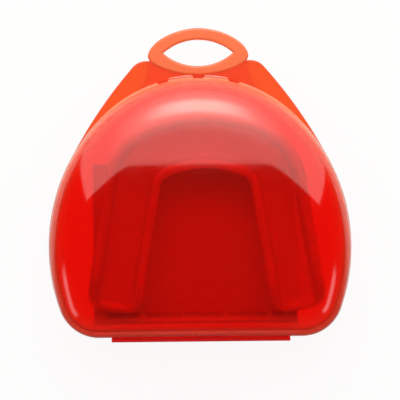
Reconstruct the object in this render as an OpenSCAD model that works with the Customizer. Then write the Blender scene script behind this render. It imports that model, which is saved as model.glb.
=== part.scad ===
// Mouthguard in a clamshell case with a living hinge and a hanging loop.
// Millimetres. The case lies on its flat back at z = 0, lid up, hinge along X on the -Y side,
// hanging loop towards +Y. The origin is under the middle of the whole object.

/* [Rim outline] */
// Width of the rim from side to side
rim_w = 84.6; // [83:0.2:86]
// Length of the rim from the hinge edge to the crown under the loop
rim_l = 72.9; // [71:0.1:75]
// Radius of the crown arc under the loop
crown_r = 38.5; // [37:0.5:40]
// Angle from the crown at which the crown arc gives way to the flank arc
crown_sweep = 45; // [42:1:48]
// Angle from the crown at which the flank arc gives way to the corner arc
flank_sweep = 110; // [107:1:112]

/* [Case shells] */
// Height of the closed case
case_h = 28; // [27:0.1:30]
// Height of the base up to its parting face
base_h = 14.5; // [14.2:0.1:15]
// Gap between the parting faces of base and lid
parting_gap = 0.3; // [0.2:0.05:0.4]
// Wall thickness of both shells
wall_t = 1.3; // [1.2:0.05:1.5]
// Thickness of the flat back
floor_t = 1.5; // [1.2:0.1:1.6]
// How far the base's rim flange stands out from its wall
flange_w = 0.6; // [0.5:0.05:0.8]
// Height of the upright edge of each rim
flange_t = 1.2; // [1:0.05:1.3]
// Radius between the wall and the flat back, outside
back_edge_r = 5.7; // [5:0.1:6]
// Radius between the wall and the floor, inside
floor_edge_r = 4.5; // [4:0.1:4.7]
// How far the base's wall leans in over its height
draft = 0.3; // [0.2:0.05:0.4]
// Height of the lip that stands up inside the lid
lip_h = 1.2; // [1:0.1:1.4]
// Thickness of that lip
lip_t = 0.5; // [0.4:0.05:0.5]
// Play between that lip and the lid
lip_play = 0.3; // [0.25:0.05:0.35]
// Straight part of the lid wall under the dome
lid_wall_h = 3; // [2.8:0.1:3.4]
// How far that wall leans in over its height
lid_draft = 0.3; // [0.2:0.05:0.4]
// Width of the lid's flange at the crown, which runs out on the flanks
lid_flange_w = 0.6; // [0.5:0.05:0.65]
// Rise of that flange towards the wall
lid_flange_up = 0.4; // [0.3:0.05:0.5]
// Width of the rounded edge of the lid beside the hinge
dome_edge_w = 9; // [8:0.1:9]
// How much wider that edge is at the crown
dome_slope_w = 7; // [5:0.5:8]
// How fast that edge widens towards the crown
dome_slope_pow = 1.5; // [1.2:0.1:2]
// Height of the rounded edge above the lid wall
dome_edge_h = 6.2; // [5.5:0.1:7]
// Squareness of the rounded edge, 2 is an ellipse
dome_edge_pow = 2.2; // [2:0.1:2.4]
// Place of the summit along the length
dome_y = -6; // [-9:0.5:-4]

/* [Latch] */
// Distance between neighbouring notches in the lid's edge
notch_pitch = 10; // [9:0.5:11]
// Width of each notch
notch_w = 3; // [2.5:0.1:3.5]
// Depth of each notch
notch_d = 0.55; // [0.45:0.05:0.6]
// How far the thumb lips stand out past the lid's edge
thumb_out = 0.35; // [0.2:0.05:0.4]
// Height of the thumb lips
thumb_t = 1.1; // [1:0.1:1.3]
// Height of the thumb lips above the lid's parting face
thumb_up = 0.3; // [0.2:0.05:0.5]
// Distance between a thumb lip and the notch beside it
thumb_gap = 0.2; // [0.1:0.05:0.4]
// How far a snap bead stands out from the lip
bead_out = 0.15; // [0.1:0.05:0.2]
// Radius of a snap bead
bead_r = 0.45; // [0.4:0.05:0.5]
// Length of a snap bead
bead_l = 2.4; // [2:0.1:2.5]

/* [Hanging loop] */
// Gap between the loop and the crown of the rim
loop_gap = 0.35; // [0.3:0.05:0.4]
// Half width of the loop
loop_a = 14.1; // [13.8:0.1:14.6]
// Height of the loop above its widest place
loop_up = 7.85; // [7.6:0.05:8.2]
// Height of the loop below its widest place
loop_down = 5.3; // [5.1:0.05:5.5]
// Fullness of the loop, 2 is an ellipse and less is more pointed
loop_pow = 1.8; // [1.7:0.05:2]
// Half width of the eye
eye_a = 9.8; // [9.4:0.1:10]
// Half height of the eye
eye_b = 3.7; // [3.5:0.1:3.8]
// Height of the middle of the eye above the loop's widest place
eye_up = 0.9; // [0.7:0.1:1]
// Thickness of the shoulder plate
plate_t = 2.1; // [1.8:0.1:2.4]
// How far the loop stands proud of the plate, front and back
loop_proud = 0.3; // [0.2:0.05:0.3]
// Distance of the shoulder corners from the middle
shoulder_x = 14.6; // [14.2:0.1:15]
// Height of the crown of the rim above those corners' centres
shoulder_down = 0.6; // [0.4:0.1:0.8]
// Radius of the shoulder corners
shoulder_r = 5; // [4.8:0.1:5.2]
// Radius of the bowed edge from those corners to the rim
bow_r = 130; // [115:5:160]
// Thickness of the stiffening pad behind the plate
pad_t = 1.4; // [1:0.1:1.6]
// Reach of that pad past the crown of the rim
pad_out = 4.2; // [3:0.1:4.2]
// Half width of that pad at its waist
pad_waist = 14; // [13.5:0.1:14.5]
// Height of the waist above the crown of the rim
pad_waist_up = 2.8; // [2.5:0.1:3]
// Radius of its hollow ends
pad_end_r = 9; // [8.5:0.1:10]

/* [Living hinge] */
// Length of the hinge along the rim
hinge_l = 50; // [46:0.5:52]
// How far the hinge bars stand out from the rim
bar_out = 0.5; // [0.5:0.05:0.6]
// Height of each hinge bar
bar_t = 1.5; // [1.4:0.05:1.6]
// Outer radius of the folded web
web_r = 0.9; // [0.85:0.05:1]
// Thickness of the web
web_t = 0.4; // [0.3:0.05:0.45]

/* [Mouthguard] */
// Sideways place of the mouthguard in the case
guard_x = 1.7; // [1:0.1:2]
// Where the front of the mouthguard stands along the length
guard_y = 20.1; // [19.5:0.1:20.5]
// Width of the mouthguard's channel over both walls
guard_w = 15.4; // [14.5:0.1:15.6]
// Radius of the front of the arch
front_r = 40; // [38:0.5:42]
// Turn of the front arc to each side
front_turn = 26; // [25:1:27]
// Radius of the bend at the eye teeth
bend_r = 18.8; // [18.4:0.1:19.2]
// Direction of the legs from the front
leg_turn = 80.5; // [79.5:0.5:82]
// Length of each leg after the bend
leg_l = 37; // [35:0.5:37.5]
// Thickness of the bite plate
bite_t = 3; // [2.5:0.1:3.5]
// Height of the outer wall at the front
lip_wall_h = 19; // [18:0.1:19.2]
// Height of the outer wall at the back teeth
cheek_wall_h = 13; // [12:0.1:14]
// Height of the inner wall
tongue_wall_h = 10; // [9:0.1:11]
// Thickness of the outer wall
lip_wall_t = 2.8; // [2.4:0.1:3]
// Thickness of the inner wall
tongue_wall_t = 2.6; // [2.4:0.1:2.8]
// Depth of the notch for the lip frenum
frenum_d = 4; // [3:0.1:5]
// Half width of that notch
frenum_w = 3.4; // [3:0.1:4]
// Radius of the edges underneath
foot_r = 1.6; // [1.4:0.1:1.8]
// How far those edges are drawn in under the walls
foot_lean = 1.2; // [1:0.1:1.4]
// Radius between the bite plate and the walls
channel_r = 1.8; // [1.6:0.1:2]
// How far the walls of the channel lean out
channel_lean = 0.6; // [0.4:0.1:0.7]

/* [Leaflet] */
// Where the left edge of the leaflet lies
leaflet_x = -30.2; // [-31:0.1:-29]
// Where the free end of the leaflet lies along the length
leaflet_y = 6; // [5:0.5:7]
// Width of the folded leaflet
leaflet_w = 57.6; // [54:0.2:57.8]
// Length of the part that lies flat
leaflet_flat = 41.6; // [38:0.2:41.6]
// Thickness of all its folded layers
leaflet_t = 0.8; // [0.5:0.1:0.9]
// Radius of the end that curls up the hinge wall
leaflet_curl_r = 4; // [3.5:0.1:4]
// How far that end has turned up
leaflet_curl = 78; // [40:1:80]
// Air under the leaflet and between it and the mouthguard
rest_gap = 0.2; // [0.1:0.05:0.25]

/* [Hidden] */
$fn = 64;

case_red = [0.84, 0.05, 0.03];
hinge_red = [0.72, 0.03, 0.03];
guard_white = [0.93, 0.92, 0.88];
paper_white = [0.97, 0.97, 0.95];

// Places along the length, from the whole object's middle, and heights of the parting line
loop_reach = loop_gap + loop_down + loop_up;
hinge_out = bar_out + web_r;
hinge_y = hinge_out - (rim_l + hinge_out + loop_reach) / 2;
crown_y = hinge_y + rim_l;
loop_y = crown_y + loop_gap + loop_down;
eye_y = loop_y + eye_up;
lid_z = base_h + parting_gap;
hinge_z = base_h + parting_gap / 2;

// The rim outline is three tangent arcs a side and a straight hinge edge
function heading(a) = [sin(a), cos(a)];
flank_r = (rim_w / 2 - crown_r * sin(crown_sweep)) / (1 - sin(crown_sweep));
crown_c = [0, crown_y - crown_r];
flank_c = crown_c + (crown_r - flank_r) * heading(crown_sweep);
corner_r = (flank_c.y + flank_r * cos(flank_sweep) - hinge_y) / (1 + cos(flank_sweep));
corner_c = flank_c + (flank_r - corner_r) * heading(flank_sweep);

// Stops round the right half of the rim: the direction out of the rim, and how far along the hinge edge
turn_step = 5;
hinge_steps = 4;
rim_stops = concat([for (a = [0 : turn_step : 180]) [a, 0]],
                   [for (i = [1 : hinge_steps]) [180, i / hinge_steps]]);

// Point of the right half of the rim at a stop, moved in by d
function rim_right(stop, d) =
    let (a = stop[0])
    a <= crown_sweep ? crown_c + (crown_r - d) * heading(a)
  : a <= flank_sweep ? flank_c + (flank_r - d) * heading(a)
  : corner_c + (corner_r - d) * heading(a) - [stop[1] * corner_c.x, 0];

function flip(p) = [-p.x, p.y];

// The whole rim runs clockwise from the crown: the right half, then the left half back up
last_stop = len(rim_stops) - 1;
rim_count = 2 * last_stop;

function rim_stop(i) = rim_stops[i <= last_stop ? i : rim_count - i];

function rim_point(i, d) = i <= last_stop ? rim_right(rim_stop(i), d) : flip(rim_right(rim_stop(i), d));

function rim(d) = [for (i = [0 : rim_count - 1]) rim_point(i, d)];

function at_height(points, z) = [for (p = points) [p.x, p.y, z]];

// Closed solid through rings of equal length, with a flat cap on the first and the last
module loft(rings) {
    n = len(rings[0]);
    m = len(rings);
    first_cap = [for (i = [n - 1 : -1 : 0]) i];
    last_cap = [for (i = [0 : n - 1]) (m - 1) * n + i];
    sides = [for (j = [0 : m - 2], i = [0 : n - 1])
             let (a = j * n + i, b = j * n + (i + 1) % n)
             each [[a, b, b + n], [a, b + n, a + n]]];
    polyhedron(points = [for (r = rings) each r], faces = concat([first_cap], sides, [last_cap]));
}

// Tray shell: up the outside from the flat back, over the rim and lip, and down inside to the floor
edge_steps = 6;
lip_in = flange_w + wall_t;
lip_face = lip_in - lip_t;
back_in = flange_w + draft + back_edge_r;
floor_in = flange_w + draft + wall_t + floor_edge_r;
tray_outside = [for (i = [0 : edge_steps]) let (a = 90 * i / edge_steps)
                [back_in - back_edge_r * sin(a), back_edge_r * (1 - cos(a))]];
tray_rim = [[flange_w, base_h - flange_t], [0, base_h - flange_t], [0, base_h], [lip_face, base_h],
            [lip_face, base_h + lip_h], [lip_in, base_h + lip_h], [lip_in, base_h]];
tray_inside = [for (i = [edge_steps : -1 : 0]) let (a = 90 * i / edge_steps)
               [floor_in - floor_edge_r * sin(a), floor_t + floor_edge_r * (1 - cos(a))]];

module base_tray() {
    color(case_red)
        loft([for (p = concat(tray_outside, tray_rim, tray_inside)) at_height(rim(p[0]), p[1])]);
}

// Flat shoulders whose bowed edges touch the flanks of the rim and the shoulder corners
shoulder_c = [shoulder_x, crown_y - shoulder_down];
reach = shoulder_c - flank_c;
along = ((bow_r - flank_r) ^ 2 - (bow_r - shoulder_r) ^ 2 + norm(reach) ^ 2) / (2 * norm(reach));
aside = sqrt((bow_r - flank_r) ^ 2 - along ^ 2);
bow_c = flank_c + (along * reach + aside * [-reach.y, reach.x]) / norm(reach);

function turn_of(v) = atan2(v.x, v.y);

bow_steps = 8;
bow_from = turn_of(flank_c - bow_c);
bow_to = turn_of(shoulder_c - bow_c);
shoulder_edge = [for (i = [0 : bow_steps]) let (a = bow_from + (bow_to - bow_from) * i / bow_steps)
                 bow_c + bow_r * heading(a)];
loop_points = 72;
eye_r = (eye_a ^ 2 + eye_b ^ 2) / (2 * eye_b);

function power(x, n) = sign(x) * abs(x) ^ n;

module loop_outline() {
    translate([0, loop_y])
        polygon([for (i = [0 : loop_points - 1])
                 let (a = 360 * i / loop_points, b = a < 180 ? loop_up : loop_down)
                 [loop_a * power(cos(a), 2 / loop_pow), b * power(sin(a), 2 / loop_pow)]]);
}

module eye() {
    intersection_for (side = [-1, 1])
        translate([0, eye_y + side * (eye_r - eye_b)]) circle(eye_r);
}

module shoulders() {
    top = [shoulder_x, shoulder_c.y + shoulder_r];
    polygon(concat(shoulder_edge, [top, flip(top)],
                   [for (i = [bow_steps : -1 : 0]) flip(shoulder_edge[i])]));
    for (c = [shoulder_c, flip(shoulder_c)])
        translate(c) circle(shoulder_r);
}

// Pad behind the plate, between the loop and the tray
module stiffening_pad() {
    half = pad_waist + pad_end_r / 2;
    difference() {
        translate([-half, crown_y - 2 * pad_out]) square([2 * half, 3 * pad_out]);
        loop_outline();
        for (side = [-1, 1])
            translate([side * (pad_waist + pad_end_r), crown_y + pad_waist_up]) circle(pad_end_r);
    }
}

module hanger_plate() {
    under = base_h - plate_t;
    color(case_red) difference() {
        union() {
            translate([0, 0, under]) linear_extrude(plate_t) shoulders();
            translate([0, 0, under - loop_proud]) linear_extrude(plate_t + 2 * loop_proud) loop_outline();
            translate([0, 0, under - pad_t]) linear_extrude(pad_t) stiffening_pad();
        }
        linear_extrude(2 * base_h) {
            polygon(rim(0));
            eye();
        }
    }
}

// Rounded ridges on the lip, one under each notch
notch_turns = [for (i = [-1 : 1]) asin(i * notch_pitch / crown_r)];

module at_crown(turn, d) {
    translate(crown_c) rotate(-turn) translate([0, crown_r - d]) children();
}

module snap_beads() {
    color(case_red) for (turn = notch_turns)
        at_crown(turn, lip_face) difference() {
            translate([-bead_l / 2, bead_out - bead_r, base_h + lip_h / 2])
                rotate([0, 90, 0]) cylinder(h = bead_l, r = bead_r);
            translate([-notch_w, -2 * notch_w, 0]) cube([2 * notch_w, 2 * notch_w, 2 * base_h]);
        }
}

// Hinge bars on the outside of both rims and the folded web between them
module hinge_bar(z) {
    translate([-hinge_l / 2, hinge_y - bar_out, z]) cube([hinge_l, bar_out, bar_t]);
}

module base_hinge_bar() {
    color(hinge_red) hinge_bar(base_h - bar_t);
}

module lid_hinge_bar() {
    color(hinge_red) hinge_bar(lid_z);
}

module hinge_web() {
    color(hinge_red) translate([-hinge_l / 2, hinge_y - bar_out, hinge_z]) rotate([90, 0, 90])
        linear_extrude(hinge_l) difference() {
            circle(web_r);
            circle(web_r - web_t);
            translate([0, -2 * web_r]) square(4 * web_r);
        }
}

// Lid shell: down inside from the summit, round the rabbet and the edge, and up the dome outside
edge_rings = 8;
top_rings = 5;
top_least = 0.08;
rabbet_in = lip_face - lip_play;
rabbet_h = lip_h + lip_play;
dome_z = lid_z + lid_wall_h;
dome_a = rim_w / 2;
dome_b = rim_l / 2;
crown_h = case_h - dome_z - dome_edge_h;

// Width of the rounded edge at the rim's point number i, widest at the crown
function edge_width(i) = dome_edge_w + dome_slope_w * ((1 + cos(rim_stop(i)[0])) / 2) ^ dome_slope_pow;

// Height of the dome over p, where u is how far across the rounded edge p lies
function dome_height(p, u, edge_h) =
    let (out = (p.x / dome_a) ^ 2 + ((p.y - dome_y) / dome_b) ^ 2)
    dome_z + (1 - (1 - u) ^ dome_edge_pow) ^ (1 / dome_edge_pow) * (edge_h + crown_h * (1 - out));

function lift(p, u, edge_h) = [p.x, p.y, dome_height(p, u, edge_h)];

// Width of the flange there: whole round the crown, none on the flanks
flange_from = 30;
flange_over = 40;

function lid_flange(i) =
    blend(lid_flange_w, 0, min(1, max(0, (rim_stop(i)[0] - flange_from) / flange_over)));

function lid_in(i) = lid_draft + lid_flange(i);

// Ring u across the rounded edge of a dome, t under the outside
function edge_ring(u, t) =
    [for (i = [0 : rim_count - 1])
     lift(rim_point(i, lid_in(i) + t + u * (edge_width(i) - t)), u, dome_edge_h - t)];

// Ring on top of the dome, s of the way out from the summit to the rounded edge
function top_ring(s, t) =
    let (c = [0, dome_y])
    [for (i = [0 : rim_count - 1])
     lift(c + s * (rim_point(i, lid_in(i) + edge_width(i)) - c), 1, dome_edge_h - t)];

function dome_rings(t) =
    concat([for (j = [0 : top_rings - 1]) top_ring(top_least + (1 - top_least) * j / top_rings, t)],
           [for (j = [edge_rings : -1 : 0]) edge_ring(1 - cos(90 * j / edge_rings), t)]);

// Ring along the foot of the wall, d further in
function foot_ring(d, z) = at_height([for (i = [0 : rim_count - 1]) rim_point(i, d + lid_flange(i))], z);

function reversed(rings) = [for (j = [len(rings) - 1 : -1 : 0]) rings[j]];

lid_inside = dome_rings(wall_t);
lid_outside = reversed(dome_rings(0));
lid_rim = [[rabbet_in, lid_z + rabbet_h], [rabbet_in, lid_z], [0, lid_z], [0, lid_z + flange_t]];
lid_edge = concat([foot_ring(wall_t, lid_z + rabbet_h)],
                  [for (p = lid_rim) at_height(rim(p[0]), p[1])],
                  [foot_ring(0, lid_z + flange_t + lid_flange_up)]);

module notch() {
    translate([-notch_w / 2, 0, base_h]) cube([notch_w, 2 * notch_d, 2 * lid_wall_h]);
}

module lid_shell() {
    color(case_red) difference() {
        loft(concat(lid_inside, lid_edge, lid_outside));
        for (turn = notch_turns)
            at_crown(turn, notch_d) notch();
    }
}

// Two lips between the notches, standing out past the lid's edge
module thumb_lips() {
    lip_turn = (notch_pitch - notch_w - 2 * thumb_gap) / crown_r * 180 / PI;
    mid_turn = notch_turns[2] / 2;
    color(case_red) for (side = [-1, 1])
        translate([crown_c.x, crown_c.y, lid_z + thumb_up]) rotate(90 - side * mid_turn - lip_turn / 2)
            rotate_extrude(angle = lip_turn) translate([crown_r, 0]) square([thumb_out, thumb_t]);
}

// Mouthguard: one section swept round the arch, which is two arcs and a straight leg a side
leaflet_z = floor_t + rest_gap;
guard_z = leaflet_z + leaflet_t + rest_gap;
guard_step = 3;
leg_end_step = 1.2;
front_arc = front_r * front_turn * PI / 180;
bend_arc = bend_r * (leg_turn - front_turn) * PI / 180;
half_arch = front_arc + bend_arc + leg_l;
front_c = [0, -front_r];
bend_c = front_c + (front_r - bend_r) * heading(front_turn);

function arch_turn(s) = s <= front_arc ? s / front_r * 180 / PI
                      : min(leg_turn, front_turn + (s - front_arc) / bend_r * 180 / PI);

// Point on the arch s along it from the front, moved in by d, for the right half
function arch_right(s, d) =
    let (a = arch_turn(s), past = max(0, s - front_arc - bend_arc))
    s <= front_arc ? front_c + (front_r - d) * heading(a)
                   : bend_c + (bend_r - d) * heading(a) + past * [cos(a), -sin(a)];

function arch(s, d) = s >= 0 ? arch_right(s, d) : flip(arch_right(-s, d));

function arc(c, r, from, to, steps) =
    [for (i = [0 : steps]) let (a = from + (to - from) * i / steps) c + r * [cos(a), sin(a)]];

function blend(a, b, t) = a + (b - a) * t * t * (3 - 2 * t);

corner_steps = 2;
wall_top_steps = 4;

// Outline of the section, as distance in from the front and height, for the two wall heights
function guard_section(outer_h, inner_h) =
    let (ro = lip_wall_t / 2,
         ri = tongue_wall_t / 2,
         foot_in = foot_lean + foot_r,
         channel_in = channel_lean + channel_r,
         channel_z = bite_t + channel_r)
    concat(arc([foot_in, foot_r], foot_r, 270, 180, corner_steps),
           arc([ro, outer_h - ro], ro, 180, 0, wall_top_steps),
           arc([lip_wall_t + channel_in, channel_z], channel_r, 180, 270, corner_steps),
           arc([guard_w - tongue_wall_t - channel_in, channel_z], channel_r, 270, 360, corner_steps),
           arc([guard_w - ri, inner_h - ri], ri, 180, 0, wall_top_steps),
           arc([guard_w - foot_in, foot_r], foot_r, 0, -90, corner_steps));

// Shares of the width and of the wall heights that are left at the tip of a leg
end_least = 0.32;
outer_end_h = 0.4;
inner_end_h = 0.45;

function tip_height(h, least, round_off) = h * (least + (1 - least) * round_off);

function guard_ring(s) =
    let (along = abs(s) / half_arch,
         to_end = half_arch - abs(s),
         end_r = guard_w / 2,
         round_off = to_end >= end_r ? 1 : max(end_least, sqrt(1 - (1 - to_end / end_r) ^ 2)),
         notch = frenum_d * exp(-(arch(s, 0).x / frenum_w) ^ 2),
         wall_h = blend(lip_wall_h, cheek_wall_h, along) - notch,
         outer_h = tip_height(wall_h, outer_end_h, round_off),
         inner_h = tip_height(tongue_wall_h, inner_end_h, round_off))
    [for (p = guard_section(outer_h, inner_h))
     let (q = arch(s, end_r + (p.x - end_r) * round_off))
     [guard_x + q.x, guard_y + q.y, guard_z + p.y]];

guard_half = concat([for (s = [guard_step : guard_step : half_arch - guard_w / 2]) s],
                    [for (t = [guard_w / 2 - leg_end_step : -leg_end_step : 0]) half_arch - t]);
guard_stations = concat([for (i = [len(guard_half) - 1 : -1 : 0]) -guard_half[i]], [0], guard_half);

module mouthguard() {
    color(guard_white) loft([for (s = guard_stations) guard_ring(s)]);
}

// Folded leaflet: flat on the floor, with its hinge end curled up the wall
module leaflet() {
    color(paper_white) translate([leaflet_x, leaflet_y - leaflet_flat, leaflet_z]) rotate([90, 0, 90])
        linear_extrude(leaflet_w) {
            square([leaflet_flat, leaflet_t]);
            intersection() {
                translate([0, leaflet_curl_r]) difference() {
                    circle(leaflet_curl_r);
                    circle(leaflet_curl_r - leaflet_t);
                }
                translate([0, leaflet_curl_r])
                    polygon([[0, 0], 2 * leaflet_curl_r * [-sin(leaflet_curl), -cos(leaflet_curl)],
                             [0, -2 * leaflet_curl_r]]);
            }
        }
}

base_tray();
hanger_plate();
snap_beads();
base_hinge_bar();
hinge_web();
lid_hinge_bar();
lid_shell();
thumb_lips();
mouthguard();
leaflet();
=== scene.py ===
import math

import bmesh
import bpy
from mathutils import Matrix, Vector


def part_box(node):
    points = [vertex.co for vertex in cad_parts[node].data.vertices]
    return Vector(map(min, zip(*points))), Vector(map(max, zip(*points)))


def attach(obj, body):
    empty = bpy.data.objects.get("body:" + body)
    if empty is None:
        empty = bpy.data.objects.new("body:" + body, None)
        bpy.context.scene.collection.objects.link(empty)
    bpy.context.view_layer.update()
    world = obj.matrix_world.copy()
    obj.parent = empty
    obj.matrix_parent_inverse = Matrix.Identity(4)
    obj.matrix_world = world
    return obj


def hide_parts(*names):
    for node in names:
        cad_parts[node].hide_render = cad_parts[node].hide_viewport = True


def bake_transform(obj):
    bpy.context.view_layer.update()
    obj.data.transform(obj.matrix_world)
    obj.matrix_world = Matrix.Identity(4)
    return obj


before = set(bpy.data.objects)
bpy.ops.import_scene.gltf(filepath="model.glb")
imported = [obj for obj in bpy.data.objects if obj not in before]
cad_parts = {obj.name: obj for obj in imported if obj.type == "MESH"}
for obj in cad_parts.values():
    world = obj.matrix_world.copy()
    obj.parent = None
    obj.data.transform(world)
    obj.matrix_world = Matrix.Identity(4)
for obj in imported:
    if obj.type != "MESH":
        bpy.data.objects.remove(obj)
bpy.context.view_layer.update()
mm = 0.001
print("frame loaded:", len(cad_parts), "nodes")


# Sizes below are in millimetres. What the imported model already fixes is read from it.
def boxMm(node):
    low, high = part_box(node)
    return low / mm, high / mm


trayLow, trayHigh = boxMm("base_tray")
baseBarLow, baseBarHigh = boxMm("base_hinge_bar")
lidBarLow, lidBarHigh = boxMm("lid_hinge_bar")
webLow, webHigh = boxMm("hinge_web")
lipsLow, lipsHigh = boxMm("thumb_lips")
paperLow, paperHigh = boxMm("leaflet")
lidTop = boxMm("lid_shell")[1].z
guardFoot = boxMm("mouthguard")[0].z
rimHalf, hingeY, crownY = trayHigh.x, trayLow.y, trayHigh.y
baseTop, lidBottom = baseBarHigh.z, lidBarLow.z


def addObject(name, data):
    thing = bpy.data.objects.new(name, data)
    bpy.context.scene.collection.objects.link(thing)
    return thing


# Camera straight above, the loop towards the top of the picture
cameraSetup = {
    "aim": (0.12, -4.27),  # point of the rim plane at the middle of the picture
    "field": 112.0,  # width of the picture in the rim plane
    "distance": 760.0,  # from the rim plane, a long lens
    "roll": -0.6,  # degrees
    "sensor": 36.0,
    "clip": (0.05, 20.0),  # metres
}


def makeCamera(c):
    data = bpy.data.cameras.new("camera")
    data.sensor_width = c["sensor"]
    data.lens = c["sensor"] * c["distance"] / c["field"]
    data.clip_start, data.clip_end = c["clip"]
    camera = addObject("camera", data)
    camera.location = Vector((c["aim"][0], c["aim"][1], baseTop + c["distance"])) * mm
    camera.rotation_euler = (0, 0, math.radians(c["roll"]))
    bpy.context.scene.camera = camera


makeCamera(cameraSetup)
print("camera set")


# Mesh helpers
def heading(turn):
    a = math.radians(turn)
    return Vector((math.sin(a), math.cos(a)))


def flat(p, z):
    return Vector((p[0], p[1], z))


weld = 0.002 * mm  # points closer than this become one


# sharp is the angle in degrees from which an edge stays hard
def smoothPiece(name, mesh, sharp):
    mesh.polygons.foreach_set("use_smooth", [True] * len(mesh.polygons))
    mesh.set_sharp_from_angle(angle=math.radians(sharp))
    return addObject(name, mesh)


def finishMesh(name, verts, faces, sharp=40):
    mesh = bpy.data.meshes.new(name)
    mesh.from_pydata([Vector(v) * mm for v in verts], [], faces)
    bm = bmesh.new()
    bm.from_mesh(mesh)
    bmesh.ops.remove_doubles(bm, verts=bm.verts, dist=weld)
    bmesh.ops.dissolve_degenerate(bm, edges=bm.edges, dist=weld)
    bmesh.ops.recalc_face_normals(bm, faces=bm.faces)
    bm.to_mesh(mesh)
    bm.free()
    return smoothPiece(name, mesh, sharp)


# Which of a piece's material slots each face takes
def setSlots(piece, chosen):
    for face in piece.data.polygons:
        face.material_index = chosen(face)


# Faces through rings of n points each, closed if the last ring joins the first
def tubeFaces(first, n, count, closed=False):
    faces = []
    for j in range(count if closed else count - 1):
        a, b = first + j * n, first + (j + 1) % count * n
        faces.extend((a + i, a + (i + 1) % n, b + (i + 1) % n, b + i) for i in range(n))
    return faces


# A tube through rings of equal length, with a fan at each end
def loftFaces(rings, verts, faces):
    first, n = len(verts), len(rings[0])
    for ring in rings:
        verts.extend(ring)
    faces.extend(tubeFaces(first, n, len(rings)))
    for ring, start in ((rings[0], first), (rings[-1], first + (len(rings) - 1) * n)):
        middle = len(verts)
        verts.append(sum(ring, Vector((0, 0, 0))) / n)
        faces.extend((start + i, start + (i + 1) % n, middle) for i in range(n))


def loft(name, rings, sharp=40):
    verts, faces = [], []
    loftFaces(rings, verts, faces)
    return finishMesh(name, verts, faces, sharp)


# A line of corners, each eased by its own radius, up to the most that its sides have room for
def easedLine(corners, steps=4, most=0.48):
    line = [Vector(corners[0][:2])]
    for before, here, after in zip(corners, corners[1:], corners[2:]):
        p = Vector(here[:2])
        toBefore, toAfter = Vector(before[:2]) - p, Vector(after[:2]) - p
        ease = min(here[2], most * toBefore.length, most * toAfter.length)
        a, b = p + toBefore.normalized() * ease, p + toAfter.normalized() * ease
        for k in range(steps + 1):
            t = k / steps
            line.append(a * (1 - t) ** 2 + p * 2 * t * (1 - t) + b * t * t)
    line.append(Vector(corners[-1][:2]))
    return line


def arcPoints(centre, radius, start, end, steps):
    turns = [math.radians(start + (end - start) * k / steps) for k in range(steps + 1)]
    return [Vector(centre) + radius * Vector((math.cos(a), math.sin(a))) for a in turns]


# The rim outline: crown arc, flank arcs, corner arcs and a straight hinge edge
rimShape = {
    "crownRadius": 38.5,
    "crownSweep": 45.0,  # degrees from the crown where the flank arc begins
    "flankSweep": 110.0,  # and where the corner arc begins
    "step": 2.0,
    "fineStep": 0.25,  # near the notches
    "hingeSteps": 12,
}
crownRadius = rimShape["crownRadius"]
crownCentre = Vector((0, crownY - crownRadius))
crownSine = math.sin(math.radians(rimShape["crownSweep"]))
flankRadius = (rimHalf - crownRadius * crownSine) / (1 - crownSine)
flankCentre = crownCentre + (crownRadius - flankRadius) * heading(rimShape["crownSweep"])
flankCosine = math.cos(math.radians(rimShape["flankSweep"]))
cornerRadius = (flankCentre.y + flankRadius * flankCosine - hingeY) / (1 + flankCosine)
cornerCentre = flankCentre + (flankRadius - cornerRadius) * heading(rimShape["flankSweep"])


# Stops clockwise from the crown: turn, share of the hinge edge, side
def rimStops(fineTo=0.0):
    s = rimShape
    turns = [k * s["fineStep"] for k in range(int(fineTo / s["fineStep"]))]
    count = round((180 - fineTo) / s["step"])
    turns += [fineTo + (180 - fineTo) * k / count for k in range(count + 1)]
    half = [(turn, 0.0) for turn in turns]
    half += [(180.0, k / s["hingeSteps"]) for k in range(1, s["hingeSteps"] + 1)]
    right = [(turn, along, 1) for turn, along in half]
    left = [(turn, along, -1) for turn, along in half[1:-1]]
    return right + left[::-1]


def rimPoint(stop, inset):
    turn, along, side = stop
    if turn <= rimShape["crownSweep"]:
        p = crownCentre + (crownRadius - inset) * heading(turn)
    elif turn <= rimShape["flankSweep"]:
        p = flankCentre + (flankRadius - inset) * heading(turn)
    else:
        p = cornerCentre + (cornerRadius - inset) * heading(turn)
        p.x -= along * cornerCentre.x
    return Vector((side * p.x, p.y))


def rimRing(stops, inset, z):
    return [flat(rimPoint(s, inset), z) for s in stops]


# Base tray: bowl with a flat back, a rim flange and the lip that centres the lid
tray = {
    "wall": 1.3,
    "floor": 1.5,
    "flangeWidth": 0.6,
    "flangeThick": 1.2,
    "draft": 0.3,
    "backEdge": 5.7,
    "floorEdge": 4.5,
    "lipThick": 0.5,
    "flangeEases": (0.35, 0.45, 0.3),  # its root, its lower and its upper edge
    "lipFootEase": 0.1,
    "lipTopEase": 0.15,
    "floorRing": 4.0,  # from the rounded edge to the first ring of the floor
    "finishDown": 0.2,  # how far under the flange its own finish begins
    "edgeSteps": 14,
}


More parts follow.
